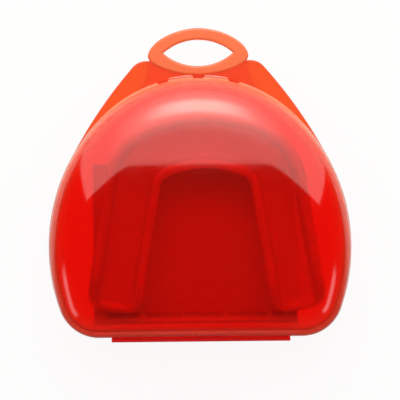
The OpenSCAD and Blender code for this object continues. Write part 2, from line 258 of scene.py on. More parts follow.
def makeTray(t):
    stops = rimStops()
    wallIn = t["flangeWidth"] + t["draft"]
    lipIn = t["flangeWidth"] + t["wall"]
    lipOut = lipIn - t["lipThick"]
    flangeUnder, lipTop = baseTop - t["flangeThick"], trayHigh.z
    rootEase, lowerEase, upperEase = t["flangeEases"]
    outside = arcPoints((wallIn + t["backEdge"], t["backEdge"]), t["backEdge"], 270, 180, t["edgeSteps"])
    # corners of the section: distance in from the rim, height, radius
    rim = easedLine([
        (wallIn, t["backEdge"], 0),
        (t["flangeWidth"], flangeUnder, rootEase),
        (0, flangeUnder, lowerEase),
        (0, baseTop, upperEase),
        (lipOut, baseTop, t["lipFootEase"]),
        (lipOut, lipTop, t["lipTopEase"]),
        (lipIn, lipTop, t["lipTopEase"]),
        (lipIn, baseTop, t["lipFootEase"]),
        (wallIn + t["wall"], t["floor"] + t["floorEdge"], 0),
    ])
    floorIn = wallIn + t["wall"] + t["floorEdge"]
    inside = arcPoints((floorIn, t["floor"] + t["floorEdge"]), t["floorEdge"], 180, 270, t["edgeSteps"])
    backRing = Vector((2 * (wallIn + t["backEdge"]), 0))
    floorRing = Vector((floorIn + t["floorRing"], t["floor"]))
    profile = [backRing, *outside[:-1], *rim, *inside[1:], floorRing]
    piece = loft("baseTray", [rimRing(stops, p.x, p.y) for p in profile], sharp=30)
    # 0 for the bowl, 1 for the flange and the lip
    setSlots(piece, lambda face: int(face.center.z > (flangeUnder - t["finishDown"]) * mm))
    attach(piece, "case_base")
    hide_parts("base_tray")
    return piece


baseTray = makeTray(tray)
print("base tray made")


# Lid shell: straight wall, wide rounded edge and a low crown, with notches in its edge
lid = {
    "wall": 1.3,
    "uprightEdge": 1.2,
    "draft": 0.3,
    "flangeWidth": 0.6,  # at the crown
    "flangeRise": 0.4,
    "flangeFrom": 30.0,  # degrees from the crown where it begins to run out
    "flangeOver": 40.0,
    "straightWall": 3.0,
    "edgeWidth": 9.0,  # beside the hinge
    "edgeGrowth": 7.0,  # wider by this at the crown
    "growthPower": 1.5,
    "edgeHeight": 6.2,
    "edgePower": 2.2,  # 2 is an ellipse
    "summitY": -6.0,
    "rabbetIn": 1.1,
    "rabbetHigh": 1.5,
    "notchPitch": 10.0,
    "notchWidth": 3.0,
    "notchDepth": 0.55,
    "notchEdge": 0.3,  # width over which a notch's end rises
    "flangeRootEase": 0.6,
    "edgeEases": (0.3, 0.25),  # upper and lower edge of the foot
    "rabbetEase": 0.1,
    "steep": 0.3,  # a face whose normal rises less than this is part of the wall
    "finishUp": 0.4,  # how far the foot's own finish reaches above its ends
    "fineTo": 22.0,  # degrees from the crown with close stops, for the notches
    "edgeRings": 30,
    "topRings": 22,
}
notchTurns = [math.degrees(math.asin(k * lid["notchPitch"] / crownRadius)) for k in (-1, 0, 1)]


def smoothStep(x):
    x = min(1.0, max(0.0, x))
    return x * x * (3 - 2 * x)


# 1 in a notch, 0 outside
def notchShare(stop):
    if stop[0] > lid["fineTo"]:
        return 0.0
    along = min(abs(stop[2] * stop[0] - n) for n in notchTurns) * math.radians(crownRadius)
    return smoothStep((lid["notchWidth"] / 2 - along) / lid["notchEdge"] + 0.5)


def makeLid(d):
    stops = rimStops(d["fineTo"])
    domeZ = lidBottom + d["straightWall"]
    crownHigh = lidTop - domeZ - d["edgeHeight"]
    summit = Vector((0, d["summitY"]))
    halfLong = (crownY - hingeY) / 2

    def edgeWidth(stop):
        toCrown = (1 + math.cos(math.radians(stop[0]))) / 2
        return d["edgeWidth"] + d["edgeGrowth"] * toCrown ** d["growthPower"]

    def domePoint(p, u, under):
        out = (p.x / rimHalf) ** 2 + ((p.y - summit.y) / halfLong) ** 2
        share = (1 - (1 - u) ** d["edgePower"]) ** (1 / d["edgePower"])
        return flat(p, domeZ + share * (d["edgeHeight"] - under + crownHigh * (1 - out)))

    def flangeWidth(stop):
        return d["flangeWidth"] * (1 - smoothStep((stop[0] - d["flangeFrom"]) / d["flangeOver"]))

    def wallIn(stop):
        return d["draft"] + flangeWidth(stop)

    # How far a point of the outside moves in where a notch cuts it
    def cut(stop, inset):
        return max(0.0, d["notchDepth"] - inset) * notchShare(stop)

    # Rings from near the summit out to the foot of the rounded edge
    def domeRings(under):
        rings = []
        for k in range(1, d["topRings"]):
            s = k / d["topRings"]
            rings.append([domePoint(summit + s * (rimPoint(q, wallIn(q) + edgeWidth(q)) - summit), 1, under)
                          for q in stops])
        for k in range(d["edgeRings"], -1, -1):
            u = 1 - math.cos(math.radians(90 * k / d["edgeRings"]))
            ring = []
            for q in stops:
                inset = wallIn(q) + under + u * (edgeWidth(q) - under)
                z = domePoint(rimPoint(q, inset), u, under).z
                ring.append(flat(rimPoint(q, inset + cut(q, inset)), z))
            rings.append(ring)
        return rings

    # Section through the foot of the wall, from the dome's outside round to its inside
    def footLine(stop):
        edgeTop, rabbetTop = lidBottom + d["uprightEdge"], lidBottom + d["rabbetHigh"]
        wide = flangeWidth(stop)
        upperEase, lowerEase = d["edgeEases"]
        return easedLine([
            (wallIn(stop), domeZ, 0),
            (wide, edgeTop + d["flangeRise"], d["flangeRootEase"]),
            (0, edgeTop, upperEase),
            (0, lidBottom, lowerEase),
            (d["rabbetIn"], lidBottom, d["rabbetEase"]),
            (d["rabbetIn"], rabbetTop, d["rabbetEase"]),
            (wide + d["wall"], rabbetTop, d["rabbetEase"]),
            (wallIn(stop) + d["wall"], domeZ, 0),
        ])[1:-1]

    columns = [(q, footLine(q)) for q in stops]
    foot = [[flat(rimPoint(q, line[k].x + cut(q, line[k].x)), line[k].y) for q, line in columns]
            for k in range(len(columns[0][1]))]
    piece = loft("lidShell", domeRings(0) + foot + domeRings(d["wall"])[::-1], sharp=35)

    # 0 outside, 1 at the foot, 2 inside
    def side(face):
        out = face.center.x * face.normal.x + (face.center.y - summit.y * mm) * face.normal.y
        outside = face.normal.z > d["steep"] or (out > 0 and face.normal.z > -d["steep"])
        footTop = (lidBottom if outside else domeZ) + d["finishUp"]
        if face.center.z < footTop * mm:
            return 1
        return 0 if outside else 2

    setSlots(piece, side)
    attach(piece, "lid")
    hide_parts("lid_shell")
    return piece


lidShell = makeLid(lid)
print("lid made")


# A section with eased corners, about its own middle, and points beside them that keep its sides flat
def easedBox(wide, high, ease, steps=4, most=0.45, holdShare=0.25):
    ease = min(ease, most * wide, most * high)
    hold = holdShare * ease
    points = []
    for sx, sy, start in ((1, 1, 0), (-1, 1, 90), (-1, -1, 180), (1, -1, 270)):
        x, y = sx * (wide / 2 - ease), sy * (high / 2 - ease)
        corner = arcPoints((x, y), ease, start, start + 90, steps)
        a, b = math.radians(start), math.radians(start + 90)
        before = corner[0] + hold * Vector((math.sin(a), -math.cos(a)))
        after = corner[-1] + hold * Vector((-math.sin(b), math.cos(b)))
        points += [before, *corner, after]
    return points


# Stations along a bar with shares of its section, for round ends; tip is the share at an end
def roundEnds(start, end, ease, middle=2, steps=4, tip=0.35):
    stations = []
    for k in range(steps + 1):
        a = math.radians(90 * k / steps)
        stations.append((start + ease * (1 - math.cos(a)), tip + (1 - tip) * math.sin(a)))
    for k in range(1, middle):
        stations.append((start + (end - start) * k / middle, 1.0))
    return stations + [(start + end - x, share) for x, share in stations[:steps + 1][::-1]]


# Thumb lips between the notches
thumbLip = {
    "inside": 0.5,  # how far they reach into the flange
    "ease": 0.45,
    "endEase": 0.5,
    "gap": 0.2,  # from a lip's end to the notch
    "stations": 14,
}


def makeThumbLips(t):
    verts, faces = [], []
    outRadius = max((Vector((v.co.x / mm, v.co.y / mm)) - crownCentre).length
                    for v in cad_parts["thumb_lips"].data.vertices)
    inRadius = crownRadius - t["inside"]
    middle, z = (outRadius + inRadius) / 2, (lipsLow.z + lipsHigh.z) / 2
    section = easedBox(outRadius - inRadius, lipsHigh.z - lipsLow.z, t["ease"])
    half = (lid["notchPitch"] - lid["notchWidth"]) / 2 - t["gap"]
    centre = math.radians(notchTurns[2] / 2)
    for side in (-1, 1):
        rings = []
        for along, share in roundEnds(-half, half, t["endEase"], t["stations"]):
            turn = side * centre + along / crownRadius
            out = Vector((math.sin(turn), math.cos(turn)))
            rings.append([flat(crownCentre + (middle + p.x * share) * out, z + p.y * share)
                          for p in section])
        loftFaces(rings, verts, faces)
    piece = finishMesh("thumbLips", verts, faces, sharp=50)
    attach(piece, "lid")
    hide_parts("thumb_lips")
    return piece


thumbLips = makeThumbLips(thumbLip)
print("thumb lips made")


# Hanger: a flat plate with shoulders, a pad behind it and the loop with its eye, moulded in one
hanger = {
    "shoulderX": 14.6,
    "shoulderDown": 0.6,
    "shoulderRadius": 5.0,
    "bowRadius": 130.0,  # of the edge from a shoulder down to the rim
    "plateThick": 2.1,
    "plateEase": 0.35,
    "rimOverlap": 0.9,  # how far the plate reaches into the rim
    "shoulderSteps": 18,
    "bowSteps": 24,
    "padThick": 1.4,
    "padInto": 0.3,  # how far the pad reaches into the plate
    "padWaist": 14.0,
    "padWaistUp": 2.8,
    "padEndRadius": 9.0,
    "padEndTurn": (171, 232),  # degrees of its hollow end
    "padEndSteps": 24,
    "padRim": 0.5,  # how far the end runs in under the rim
    "padLift": 0.05,  # how far its edge runs in under the loop
    "padStep": 0.1,  # least room between the loop's line and the end
    "loopGap": 0.35,  # from the crown to the loop
    "loopHalf": 14.1,
    "loopUp": 7.85,
    "loopDown": 5.3,
    "loopPower": 1.8,  # 2 is an ellipse
    "loopProud": 0.3,  # front and back of the plate
    "loopEase": 0.6,
    "eyeHalf": 9.8,
    "eyeHigh": 3.7,
    "eyeUp": 0.9,
    "loopSteps": 200,
    "underLoop": (-88, 0, 4),  # degrees along the underside of the loop: first, last, step
}
loopY = crownY + hanger["loopGap"] + hanger["loopDown"]
eyeRadius = (hanger["eyeHalf"] ** 2 + hanger["eyeHigh"] ** 2) / (2 * hanger["eyeHigh"])


def signedPower(x, n):
    return math.copysign(abs(x) ** n, x)


# Points of the loop's outside and of its eye, a in degrees from +X
def loopPoint(a):
    c, s = math.cos(math.radians(a)), math.sin(math.radians(a))
    tall = hanger["loopUp"] if s >= 0 else hanger["loopDown"]
    power = 2 / hanger["loopPower"]
    return Vector((hanger["loopHalf"] * signedPower(c, power), loopY + tall * signedPower(s, power)))


def eyePoint(a):
    x = hanger["eyeHalf"] * math.cos(math.radians(a))
    bow = math.sqrt(eyeRadius ** 2 - x * x) - (eyeRadius - hanger["eyeHigh"])
    return Vector((x, loopY + hanger["eyeUp"] + math.copysign(bow, math.sin(math.radians(a)))))


# Where a line from the arc centres through p meets the rim, a little inside it
def rimUnder(p, inset):
    side = 1 if p.x >= 0 else -1
    q = Vector((abs(p.x), p.y))
    turn = math.degrees(math.atan2(*(q - crownCentre)))
    if turn > rimShape["crownSweep"]:
        turn = math.degrees(math.atan2(*(q - flankCentre)))
    return rimPoint((turn, 0, side), inset)


# Section with eased edges between two points of the plan
def stripRing(p, q, low, high, ease):
    middle, across = (p + q) / 2, (q - p).normalized()
    section = easedBox((q - p).length, high - low, ease)
    return [flat(middle + across * c.x, (low + high) / 2 + c.y) for c in section]


# A flat strip from the rim out to a line
def rimStrip(name, outerLine, low, high, ease):
    overlap = hanger["rimOverlap"]
    return loft(name, [stripRing(rimUnder(p, overlap), p, low, high, ease) for p in outerLine])


def mirrored(line):
    return [Vector((-p.x, p.y)) for p in line[::-1]]


# Half of the plate's edge: along the middle of the loop, over the shoulder and down to the rim
def plateLine(h):
    corner = Vector((h["shoulderX"], crownY - h["shoulderDown"]))
    reach = corner - flankCentre
    fromFlank, fromCorner = h["bowRadius"] - flankRadius, h["bowRadius"] - h["shoulderRadius"]
    along = (fromFlank ** 2 - fromCorner ** 2 + reach.length ** 2) / (2 * reach.length)
    aside = math.sqrt(fromFlank ** 2 - along ** 2)
    bow = flankCentre + (along * reach + aside * Vector((-reach.y, reach.x))) / reach.length
    turn, lastTurn = (math.degrees(math.atan2(*(p - bow))) for p in (corner, flankCentre))
    top = corner.y + h["shoulderRadius"]
    line = [loopPoint(a).lerp(eyePoint(a), 0.5) for a in range(*h["underLoop"])]
    line = [p for p in line if p.y < top]
    line += [Vector((line[-1].x, top)).lerp(Vector((corner.x, top)), k / 4) for k in range(1, 4)]
    line += arcPoints(corner, h["shoulderRadius"], 90, 90 - turn, h["shoulderSteps"])
    return line + arcPoints(bow, h["bowRadius"], 90 - turn, 90 - lastTurn, h["bowSteps"])[1:-1]


# Half of the pad's edge: under the loop and down its hollow end
def padLine(h):
    r = h["padEndRadius"]
    centre = Vector((h["padWaist"] + r, crownY + h["padWaistUp"]))
    end = arcPoints(centre, r, *h["padEndTurn"], h["padEndSteps"])
    end = [p for p in end if (p - flankCentre).length > flankRadius - h["padRim"]]
    line = [loopPoint(a) + Vector((0, h["padLift"])) for a in range(*h["underLoop"])]
    return [p for p in line if p.x < end[0].x - h["padStep"] and p.y < end[0].y] + end


def loopRing(h):
    low, high = baseTop - h["plateThick"] - h["loopProud"], baseTop + h["loopProud"]
    turns = [360 * (k + 0.5) / h["loopSteps"] for k in range(h["loopSteps"])]
    rings = [stripRing(loopPoint(a), eyePoint(a), low, high, h["loopEase"]) for a in turns]
    verts = [p for ring in rings for p in ring]
    faces = tubeFaces(0, len(rings[0]), len(rings), closed=True)
    return finishMesh("loopRing", verts, faces, sharp=50)


# One mesh out of overlapping solids, with a material slot for each of them
def fuse(name, solids, sharp=40):
    first = solids[0]
    holders = [bpy.data.materials.new(name + str(slot)) for slot in range(len(solids))]
    for index, solid in enumerate(solids):
        for holder in holders:
            solid.data.materials.append(holder)
        solid.data.polygons.foreach_set("material_index", [index] * len(solid.data.polygons))
    for other in solids[1:]:
        join = first.modifiers.new("join", "BOOLEAN")
        join.operation, join.solver, join.object = "UNION", "EXACT", other
    graph = bpy.context.evaluated_depsgraph_get()
    mesh = bpy.data.meshes.new_from_object(first.evaluated_get(graph))
    for solid in solids:
        bpy.data.meshes.remove(solid.data)
    mesh.name = name
    return smoothPiece(name, mesh, sharp)


def makeHanger(h):
    under = baseTop - h["plateThick"]
    right = plateLine(h)
    plate = rimStrip("plate", mirrored(right) + right, under, baseTop, h["plateEase"])
    right = padLine(h)
    low, high = under - h["padThick"], under + h["padInto"]
    pad = rimStrip("pad", mirrored(right) + right, low, high, h["plateEase"])
    piece = fuse("hangerPlate", [loopRing(h), plate, pad])
    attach(piece, "case_base")
    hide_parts("hanger_plate")
    return piece


hangerPlate = makeHanger(hanger)
print("hanger made")


# Living hinge: a bar on each shell and the web that folds between them
hinge = {
    "inside": 0.4,  # how far a bar reaches into its flange
    "barEase": 0.22,
    "barEndEase": 0.5,
    "webThick": 0.4,
    "webTurn": 0.7,  # share of the web's half height over which the real web turns with the lid
    "webSteps": 18,
    "webAcross": 8,
}


def makeBar(name, node, body, low, high):
    wide, tall = high.y + hinge["inside"] - low.y, high.z - low.z
    section = easedBox(wide, tall, hinge["barEase"])
    y, z = low.y + wide / 2, (low.z + high.z) / 2
    rings = [[Vector((x, y + p.x * share, z + p.y * share)) for p in section]
             for x, share in roundEnds(low.x, high.x, hinge["barEndEase"])]
    piece = loft(name, rings, sharp=50)
    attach(piece, body)
    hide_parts(node)
    return piece


def makeWeb(h):
    centreY, z = baseBarLow.y, (webLow.z + webHigh.z) / 2
    radius = centreY - webLow.y
    outer = arcPoints((centreY, z), radius, 270, 90, h["webSteps"])
    inner = arcPoints((centreY, z), radius - h["webThick"], 90, 270, h["webSteps"])
    section = outer + inner
    count = h["webAcross"]
    xs = [webLow.x + (webHigh.x - webLow.x) * k / count for k in range(count + 1)]
    piece = loft("hingeWeb", [[Vector((x, p.x, p.y)) for p in section] for x in xs], sharp=50)
    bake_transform(piece)
    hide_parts("hinge_web")
    return piece


baseBar = makeBar("baseHingeBar", "base_hinge_bar", "case_base", baseBarLow, baseBarHigh)
lidBar = makeBar("lidHingeBar", "lid_hinge_bar", "lid", lidBarLow, lidBarHigh)
hingeWeb = makeWeb(hinge)
print("hinge made")


# Mouthguard: one section swept round the arch, two arcs and a straight leg a side
guard = {
    "x": 1.7,
    "frontY": 20.1,
    "width": 15.4,
    "frontRadius": 40.0,
    "frontTurn": 26.0,
    "bendRadius": 18.8,
    "legTurn": 80.5,
    "legLong": 37.0,
    "bite": 3.0,
    "lipWallHigh": 19.0,
    "cheekWallHigh": 13.0,
    "tongueWallHigh": 10.0,
    "lipWallThick": 2.8,
    "tongueWallThick": 2.6,
    "footRadius": 1.6,
    "footLean": 1.2,
    "channelRadius": 1.8,
    "channelLean": 0.6,
    "frenumDeep": 4.0,
    "frenumHalf": 3.4,
    "endHigh": 6.6,  # height of the walls at the end of a leg
    "endSlope": 9.0,  # length over which they come down to it
    "endCorner": 4.6,  # corner radius of the end, seen from above
    "endWall": 1.8,  # thickness of the wall that closes the channel
    "endOpen": 0.4,  # where the channel begins to open, in thicknesses of that wall
    "leastOpen": 0.04,  # share of the channel's depth left at the very end
    "endEase": 2.6,
    "endFall": 0.35,  # share by which the very end is lower
    "endSquash": 0.25,  # how much of that fall the whole section follows
    "endCrowding": 1.6,  # stations crowd towards the end
    "endSteps": 26,
    "step": 0.8,
    "topSteps": 12,
    "footSteps": 6,
}


def makeGuard(g):
    frontArc = g["frontRadius"] * math.radians(g["frontTurn"])
    bendArc = g["bendRadius"] * math.radians(g["legTurn"] - g["frontTurn"])
    halfArch = frontArc + bendArc + g["legLong"]
    frontCentre = Vector((0, -g["frontRadius"]))
    bendCentre = frontCentre + (g["frontRadius"] - g["bendRadius"]) * heading(g["frontTurn"])
    endRadius = g["width"] / 2

    def archPoint(s, inset):
        side, s = (1 if s >= 0 else -1), abs(s)
        if s <= frontArc:
            p = frontCentre + (g["frontRadius"] - inset) * heading(math.degrees(s / g["frontRadius"]))
        else:
            turn = min(g["legTurn"], g["frontTurn"] + math.degrees((s - frontArc) / g["bendRadius"]))
            way = heading(turn)
            past = max(0.0, s - frontArc - bendArc)
            p = bendCentre + (g["bendRadius"] - inset) * way + past * Vector((way.y, -way.x))
        return Vector((side * p.x, p.y))

    # Across the arch from the cheek side; openShare is the share of the channel's depth
    def section(outerHigh, innerHigh, openShare):
        ro, ri = g["lipWallThick"] / 2, g["tongueWallThick"] / 2
        footIn, footR = g["footLean"] + g["footRadius"], g["footRadius"]
        channelIn, channelR = g["channelLean"] + g["channelRadius"], g["channelRadius"] * openShare
        floor = min(outerHigh, innerHigh) * (1 - openShare) + g["bite"] * openShare
        z, w = floor + channelR, g["width"]
        steps, footSteps = g["topSteps"], g["footSteps"]
        outerTop = arcPoints((ro, outerHigh - ro), ro, 180, 0, steps)
        innerTop = arcPoints((w - ri, innerHigh - ri), ri, 180, 0, steps)
        # where the channel is closed, the walls run level into its end
        for p in outerTop[steps // 2:] + innerTop[:steps // 2]:
            p.y = max(p.y, floor)
        return (arcPoints((footIn, footR), footR, 270, 180, footSteps)
                + outerTop
                + arcPoints((g["lipWallThick"] + channelIn, z), channelR, 180, 270, footSteps)
                + arcPoints((w - g["tongueWallThick"] - channelIn, z), channelR, 270, 360, footSteps)
                + innerTop
                + arcPoints((w - footIn, footR), footR, 0, -90, footSteps))

    # left is the share of the width that a leg's rounded end still has, brow that of its height
    def ring(s):
        toEnd = halfArch - abs(s)
        corner = max(0.0, 1 - toEnd / g["endCorner"])
        left = 1 - g["endCorner"] * (1 - math.sqrt(1 - corner ** 2)) / endRadius
        drop = smoothStep(1 - toEnd / g["endSlope"])
        brow = 1 - max(0.0, 1 - toEnd / g["endEase"]) ** 2 * g["endFall"]
        notch = g["frenumDeep"] * math.exp(-(archPoint(s, 0).x / g["frenumHalf"]) ** 2)
        wall = g["lipWallHigh"] + (g["cheekWallHigh"] - g["lipWallHigh"]) * smoothStep(abs(s) / halfArch)
        wall -= notch
        outerHigh = brow * (wall + (g["endHigh"] - wall) * drop)
        innerHigh = brow * (g["tongueWallHigh"] + (g["endHigh"] - g["tongueWallHigh"]) * drop)
        openShare = max(g["leastOpen"], smoothStep(toEnd / g["endWall"] - g["endOpen"]))
        squash = 1 - g["endSquash"] + g["endSquash"] * brow
        points = []
        for p in section(outerHigh, innerHigh, openShare):
            q = archPoint(s, endRadius + (p.x - endRadius) * left)
            points.append(Vector((g["x"] + q.x, g["frontY"] + q.y, guardFoot + p.y * squash)))
        return points

    straight = halfArch - g["endSlope"]
    count = math.ceil(straight / g["step"])
    half = [straight * k / count for k in range(1, count + 1)]
    for k in range(1, g["endSteps"] + 1):
        half.append(halfArch - g["endSlope"] * (1 - k / g["endSteps"]) ** g["endCrowding"])
    stations = [-s for s in half[::-1]] + [0.0] + half
    piece = loft("mouthguardBody", [ring(s) for s in stations], sharp=60)
    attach(piece, "guard")
    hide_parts("mouthguard")
    return piece


mouthguard = makeGuard(guard)
print("mouthguard made")


# Leaflet: one sheet folded back and forth into layers, its hinge end curled up the wall
leaflet = {
    "layers": 4,
    "thick": 0.8,  # of all layers
    "paper": 0.1,
    "flatLong": 41.6,
    "curlRadius": 4.0,
    "curl": 78.0,  # degrees
    "foldReach": 0.8,  # how far a fold stands out, against a half round
    "foldSteps": 6,
    "acrossSteps": 36,
    "flatSteps": 40,
    "curlSteps": 14,
}


def makeLeaflet(f):
    pitch = (f["thick"] - f["paper"]) / (f["layers"] - 1)
    startY = paperHigh.y
    curlCentre = Vector((startY - f["flatLong"], paperLow.z + f["curlRadius"]))

    # Middle line of one layer at height h over the underside, from the free end to the curled end
    def layerLine(h):
        line = [(startY - f["flatLong"] * k / f["flatSteps"], paperLow.z + h)
                for k in range(f["flatSteps"] + 1)]
        for k in range(1, f["curlSteps"] + 1):
            a = math.radians(f["curl"] * k / f["curlSteps"])
            r = f["curlRadius"] - h
            line.append((curlCentre.x - r * math.sin(a), curlCentre.y - r * math.cos(a)))
        return [Vector(p) for p in line]

    path = []
    for k in range(f["layers"]):
        line = layerLine(f["paper"] / 2 + k * pitch)
        line = line[::-1] if k % 2 else line
        if path:
            a, b = path[-1], line[0]
            out = (path[-1] - path[-2]).normalized()
            middle, radius = (a + b) / 2, (b - a).length / 2
            up = (b - a).normalized()
            for j in range(1, f["foldSteps"]):
                t = math.pi * j / f["foldSteps"]
                outward = out * radius * f["foldReach"] * math.sin(t)
                path.append(middle - up * radius * math.cos(t) + outward)
        path += line
    left, right = [], []
    for i, p in enumerate(path):
        along = (path[min(i + 1, len(path) - 1)] - path[max(i - 1, 0)]).normalized()
        side = Vector((-along.y, along.x)) * f["paper"] / 2
        left.append(p + side)
        right.append(p - side)
    section = left + right[::-1]
    width = paperHigh.x - paperLow.x
    xs = [paperLow.x + width * k / f["acrossSteps"] for k in range(f["acrossSteps"] + 1)]
    n, m = len(section), len(path)
    verts = [Vector((x, p.x, p.y)) for x in xs for p in section]
    faces = tubeFaces(0, n, len(xs))
    for start in (0, (len(xs) - 1) * n):
        faces.extend((start + i, start + i + 1, start + n - 2 - i, start + n - 1 - i) for i in range(m - 1))
    piece = finishMesh("foldedLeaflet", verts, faces)
    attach(piece, "case_base")
    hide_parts("leaflet")
    return piece


foldedLeaflet = makeLeaflet(leaflet)


# Materials: inputs go by name or number, a value is a constant or another node's socket
def setInputs(tree, node, inputs):
    for name, value in inputs.items():
        if isinstance(value, bpy.types.NodeSocket):
            tree.links.new(value, node.inputs[name])
        else:
            node.inputs[name].default_value = value


def addNode(tree, kind, inputs={}, **values):
    node = tree.nodes.new("ShaderNode" + kind)
    for name, value in values.items():
        setattr(node, name, value)
    setInputs(tree, node, inputs)
    return node


def emptyTree(owner, output):
    owner.use_nodes = True
    owner.node_tree.nodes.clear()
    return owner.node_tree, addNode(owner.node_tree, output)


def newMaterial(name):
    material = bpy.data.materials.new(name)
    return material, *emptyTree(material, "OutputMaterial")


def maths(tree, operation, *numbers):
    return addNode(tree, "Math", dict(enumerate(numbers)), operation=operation).outputs[0]


def noise(tree, coords, scale, detail=3.0, rough=0.5):
    inputs = {"Vector": coords, "Scale": scale, "Detail": detail, "Roughness": rough}
    return addNode(tree, "TexNoise", inputs).outputs["Fac"]


def remap(tree, value, low, high, fromLow=0.2, fromHigh=0.8, smooth=False):
    inputs = {"Value": value, "From Min": fromLow, "From Max": fromHigh, "To Min": low, "To Max": high}
    curve = "SMOOTHSTEP" if smooth else "LINEAR"
    return addNode(tree, "MapRange", inputs, clamp=False, interpolation_type=curve).outputs["Result"]


# a is a colour or a socket, b a colour
def mixColours(tree, factor, a, b):
    a = (*a, 1) if isinstance(a, tuple) else a
    return addNode(tree, "Mix", {0: factor, 6: a, 7: (*b, 1)}, data_type="RGBA").outputs[2]


def bump(tree, height, strength, distance):
    inputs = {"Height": height, "Strength": strength, "Distance": distance}
    return addNode(tree, "Bump", inputs).outputs["Normal"]


def mixShaders(tree, factor, a, b, output):
    both = addNode(tree, "MixShader", {0: factor, 1: a.outputs[0], 2: b.outputs[0]})
    tree.links.new(both.outputs[0], output.inputs["Surface"])


# Lamps shine straight through thin walls on to what is behind them
def letLampsThrough(tree, shader, colour, output, rays):
    clear = addNode(tree, "BsdfTransparent", {"Color": (*colour, 1)})
    path = addNode(tree, "LightPath")
    factor = path.outputs[rays[0]]
    for ray in rays[1:]:
        factor = maths(tree, "MAXIMUM", factor, path.outputs[ray])
    mixShaders(tree, factor, shader, clear, output)


# Translucent red polypropylene: tinted where light passes, a little hazy, glossy on the lid
redGloss = {
    "tint": (0.97, 0.035, 0.006),
    "tintDeep": (0.96, 0.029, 0.005),
    "through": 0.94,  # share of light that passes, the rest is scattered in the surface
    "haze": (0.06, 0.11),  # roughness
    "ior": 1.49,
    "shade": (0.90, 0.15, 0.055),  # lamplight left behind each face
    "specular": 0.5,
    "gloss": 0.6,
    "glossRoughness": 0.03,
    "flowScale": 70.0,  # cloudiness of the melt, per metre
    "hazeScale": 280.0,
    "peelScale": 420.0,
    "peelStrength": 0.15,
    "peelDepth": 0.00001,
    "edge": None,
}
# Lid: hazy towards its edge and paler there, a painted glow, most at the crown, for the light from along
# the wall that comes out
redLid = dict(redGloss, edge={
    # painted glow: the paler colour towards the edge
    "tint": (0.99, 0.25, 0.12),
    "through": 0.3,
    "haze": 0.4,  # added roughness
    "rise": ((lidBottom + 2.5) * mm, (lidBottom + 9.5) * mm),  # from this finish to the dome's
    "crown": (-0.035, 0.022),  # Y from the least of it to the most
    "least": 0.42,
})
# Inside of the lid, with the same painted glow at its edge, and the tray's bowl: no polish
redLidInside = dict(redLid, gloss=0.0)
redInside = dict(redGloss, gloss=0.0)
# Thumb lips and beads: hazier, and paler, a painted glow for the light that runs along the walls
redRimPaintedGlow = dict(redGloss, tint=(0.99, 0.22, 0.10), tintDeep=(0.98, 0.18, 0.08),
              through=0.55, haze=(0.4, 0.55), gloss=0.8, glossRoughness=0.08)
# Satin faces of the hanger: the loop paler and more orange than the lid, a painted backlight and sheen, the
# plate less so; the pad deeper where the hanger is thicker
satinLoopPaintedSheen = dict(redGloss, tint=(0.99, 0.24, 0.080), tintDeep=(0.98, 0.21, 0.070),
                 through=0.55, haze=(0.35, 0.45), gloss=0.15, glossRoughness=0.2)
satinPlate = dict(satinLoopPaintedSheen, tint=(0.99, 0.09, 0.002), tintDeep=(0.98, 0.08, 0.0015),
                  through=0.9, specular=0.0, gloss=0.05)
satinPad = dict(satinPlate, tint=(0.98, 0.03, 0.001), tintDeep=(0.97, 0.025, 0.0008))
# Flange of the tray and foot of the lid: paler than the plain red, a weaker painted glow, yet deeper than
# the lid's edge
redFlange = dict(redRimPaintedGlow, tint=(0.99, 0.08, 0.015), tintDeep=(0.98, 0.07, 0.012),
                 through=0.85, haze=(0.35, 0.45), gloss=0.2)
# Hinge bars and web: two walls thick, dull
redHinge = dict(redGloss, tint=(0.86, 0.012, 0.008), tintDeep=(0.84, 0.010, 0.006),
                through=0.9, haze=(0.35, 0.45), specular=0.1, gloss=0.05)


# Share of the edge's painted glow and haze, by height and by nearness to the crown
def paintedGlowShare(tree, coords, e):
    split = addNode(tree, "SeparateXYZ", {0: coords})
    low = remap(tree, split.outputs["Z"], 1, 0, *e["rise"], smooth=True)
    nearCrown = remap(tree, split.outputs["Y"], e["least"], 1, *e["crown"], smooth=True)
    return maths(tree, "MULTIPLY", low, nearCrown)


def makeRedPlastic(name, r):
    material, tree, output = newMaterial(name)
    coords = addNode(tree, "TexCoord").outputs["Object"]
    cloud = noise(tree, coords, r["flowScale"], detail=4)
    colour = mixColours(tree, remap(tree, cloud, 0, 1), r["tint"], r["tintDeep"])
    rough = remap(tree, noise(tree, coords, r["hazeScale"], detail=3), *r["haze"])
    peel = noise(tree, coords, r["peelScale"], detail=2)
    shader = addNode(tree, "BsdfPrincipled", {
        "Normal": bump(tree, peel, r["peelStrength"], r["peelDepth"]),
        "IOR": r["ior"],
        "Specular IOR Level": r["specular"],
        "Transmission Weight": r["through"],
        "Coat Weight": r["gloss"],
        "Coat Roughness": r["glossRoughness"],
    })
    e = r["edge"]
    if e:
        paintedGlowAtEdge = paintedGlowShare(tree, coords, e)
        # painted glow: the colour turns paler at the lid's edge
        colour = mixColours(tree, paintedGlowAtEdge, colour, e["tint"])
        rough = maths(tree, "ADD", rough, maths(tree, "MULTIPLY", paintedGlowAtEdge, e["haze"]))
        through = remap(tree, paintedGlowAtEdge, r["through"], e["through"], 0, 1)
        tree.links.new(through, shader.inputs["Transmission Weight"])
    setInputs(tree, shader, {"Base Color": colour, "Roughness": rough})
    letLampsThrough(tree, shader, r["shade"], output, ["Is Shadow Ray", "Is Diffuse Ray"])
    return material


# Milky soft thermoplastic of the mouthguard: part of the light goes through, the rest scatters inside
milkyRubber = {
    "colour": (0.94, 0.92, 0.87),
    "shade": (0.89, 0.87, 0.81),
    "through": 0.5,
    "clear": (0.80, 0.77, 0.71),  # lamplight left behind each face
    "roughness": (0.32, 0.45),
    "ior": 1.49,
    "scatter": 0.8,
    "depth": 0.0016,  # of the scattered light, in metres
    "depthShares": (1.0, 0.85, 0.7),
    "cloudScale": 160.0,
    "grainScale": 2600.0,
    "grainStrength": 0.2,
    "grainDepth": 0.00003,
}


